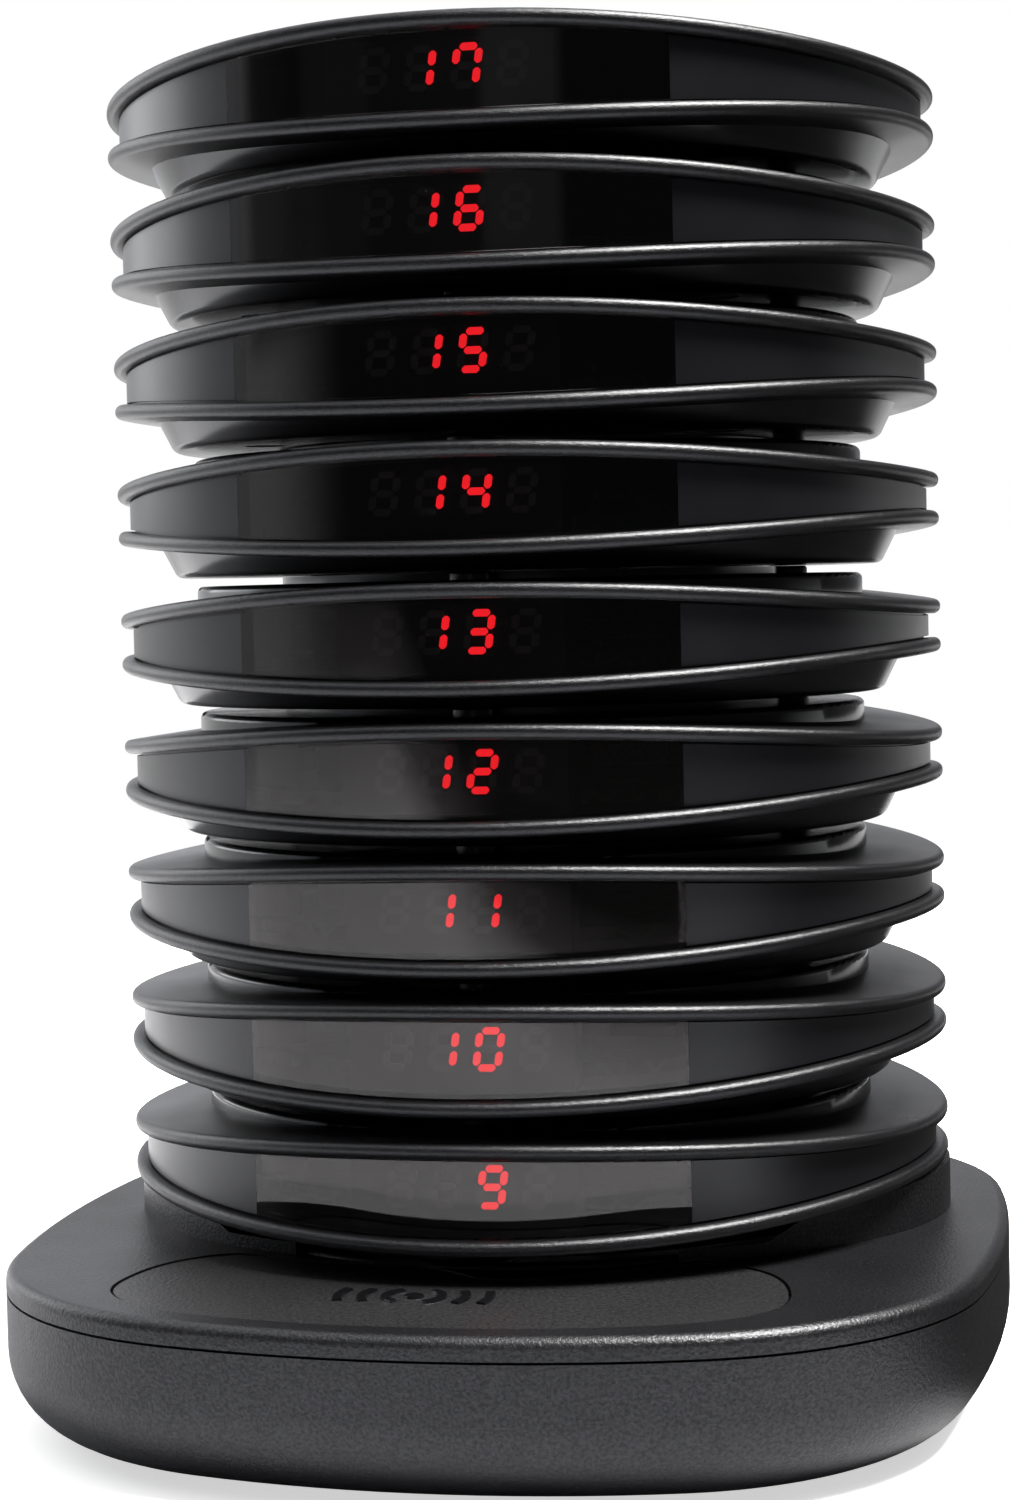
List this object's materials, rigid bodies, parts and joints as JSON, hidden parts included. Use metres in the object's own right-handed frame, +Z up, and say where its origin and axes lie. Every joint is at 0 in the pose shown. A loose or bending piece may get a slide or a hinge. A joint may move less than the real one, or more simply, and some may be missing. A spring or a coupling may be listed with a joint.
{
  "type": "pager stack on charging base",
  "caption": "Stack of round coaster pagers with numbered red displays in a dark side window, on a rounded square charging base with a badge plate in front.",
  "frame": {"origin": "on the surface that the feet stand on, under the middle of the base's plan", "axes": "+Z up along the stack; the windows and the badge plate face -Y; the power inlet is at +Y"},
  "size_m": [0.1196, 0.127, 0.1643],
  "materials": {
    "shell_black": "fine satin texture",
    "base_black": "fine grain, soft touch",
    "band_gloss": "polished",
    "window_smoke": "smoked, polished",
    "badge_black": "coarser grain",
    "rubber_black": "matt",
    "screw_steel": "plain",
    "contact_gold": "polished",
    "board_green": "solder mask",
    "battery_wrap": "shrink wrap",
    "motor_steel": "plain",
    "weight_metal": "sintered",
    "display_body": "matt",
    "jack_black": "moulded"
  },
  "bodies": {
    "base": {"base_tub": "base_black", "base_top_cover": "base_black", "base_badge_plate": "badge_black", "base_rubber_feet": "rubber_black", "base_screws": "screw_steel", "base_charger_board": "board_green", "base_dc_jack": "jack_black"},
    "base_pins": {"base_contact_pins": "contact_gold"},
    "pager_09": {"pager_09_top_cover": "shell_black", "pager_09_bottom_case": "shell_black", "pager_09_side_band": "band_gloss", "pager_09_window_lens": "window_smoke", "pager_09_electronics": "board_green"},
    "pager_10": {"pager_10_top_cover": "shell_black", "pager_10_bottom_case": "shell_black", "pager_10_side_band": "band_gloss", "pager_10_window_lens": "window_smoke", "pager_10_electronics": "board_green"},
    "pager_11": {"pager_11_top_cover": "shell_black", "pager_11_bottom_case": "shell_black", "pager_11_side_band": "band_gloss", "pager_11_window_lens": "window_smoke", "pager_11_electronics": "board_green"},
    "pager_12": {"pager_12_top_cover": "shell_black", "pager_12_bottom_case": "shell_black", "pager_12_side_band": "band_gloss", "pager_12_window_lens": "window_smoke", "pager_12_electronics": "board_green"},
    "pager_13": {"pager_13_top_cover": "shell_black", "pager_13_bottom_case": "shell_black", "pager_13_side_band": "band_gloss", "pager_13_window_lens": "window_smoke", "pager_13_electronics": "board_green"},
    "pager_14": {"pager_14_top_cover": "shell_black", "pager_14_bottom_case": "shell_black", "pager_14_side_band": "band_gloss", "pager_14_window_lens": "window_smoke", "pager_14_electronics": "board_green"},
    "pager_15": {"pager_15_top_cover": "shell_black", "pager_15_bottom_case": "shell_black", "pager_15_side_band": "band_gloss", "pager_15_window_lens": "window_smoke", "pager_15_electronics": "board_green"},
    "pager_16": {"pager_16_top_cover": "shell_black", "pager_16_bottom_case": "shell_black", "pager_16_side_band": "band_gloss", "pager_16_window_lens": "window_smoke", "pager_16_electronics": "board_green"},
    "pager_17": {"pager_17_top_cover": "shell_black", "pager_17_bottom_case": "shell_black", "pager_17_side_band": "band_gloss", "pager_17_window_lens": "window_smoke", "pager_17_display_module": "display_body", "pager_17_main_board": "board_green", "pager_17_battery": "battery_wrap", "pager_17_vibration_motor": "motor_steel", "pager_17_contact_pads": "contact_gold", "pager_17_case_screws": "screw_steel"},
    "pager_17_weight": {"pager_17_eccentric_weight": "weight_metal"},
    "pager_17_pins": {"pager_17_contact_pins": "contact_gold"}
  },
  "joints": [
    {"name": "base_pins_press", "type": "slide", "parent": "base", "child": "base_pins", "axis": [0, 0, 1], "range_m": [-0.001, 0], "stiffness_N_per_m": 60},
    {"name": "pager_09_lift", "type": "slide", "parent": "base", "child": "pager_09", "axis": [0, 0, 1], "range_m": [0, 0.04]},
    {"name": "pager_10_lift", "type": "slide", "parent": "pager_09", "child": "pager_10", "axis": [0, 0, 1], "range_m": [0, 0.04]},
    {"name": "pager_11_lift", "type": "slide", "parent": "pager_10", "child": "pager_11", "axis": [0, 0, 1], "range_m": [0, 0.04]},
    {"name": "pager_12_lift", "type": "slide", "parent": "pager_11", "child": "pager_12", "axis": [0, 0, 1], "range_m": [0, 0.04]},
    {"name": "pager_13_lift", "type": "slide", "parent": "pager_12", "child": "pager_13", "axis": [0, 0, 1], "range_m": [0, 0.04]},
    {"name": "pager_14_lift", "type": "slide", "parent": "pager_13", "child": "pager_14", "axis": [0, 0, 1], "range_m": [0, 0.04]},
    {"name": "pager_15_lift", "type": "slide", "parent": "pager_14", "child": "pager_15", "axis": [0, 0, 1], "range_m": [0, 0.04]},
    {"name": "pager_16_lift", "type": "slide", "parent": "pager_15", "child": "pager_16", "axis": [0, 0, 1], "range_m": [0, 0.04]},
    {"name": "pager_17_lift", "type": "slide", "parent": "pager_16", "child": "pager_17", "axis": [0, 0, 1], "range_m": [0, 0.04]},
    {"name": "pager_17_motor_spin", "type": "hinge", "parent": "pager_17", "child": "pager_17_weight", "pos_m": [0.0188, 0.0312, 0.15806], "axis": [1, 0, 0], "continuous": true},
    {"name": "pager_17_pins_press", "type": "slide", "parent": "pager_17", "child": "pager_17_pins", "axis": [0, 0, 1], "range_m": [-0.001, 0], "stiffness_N_per_m": 60}
  ]
}
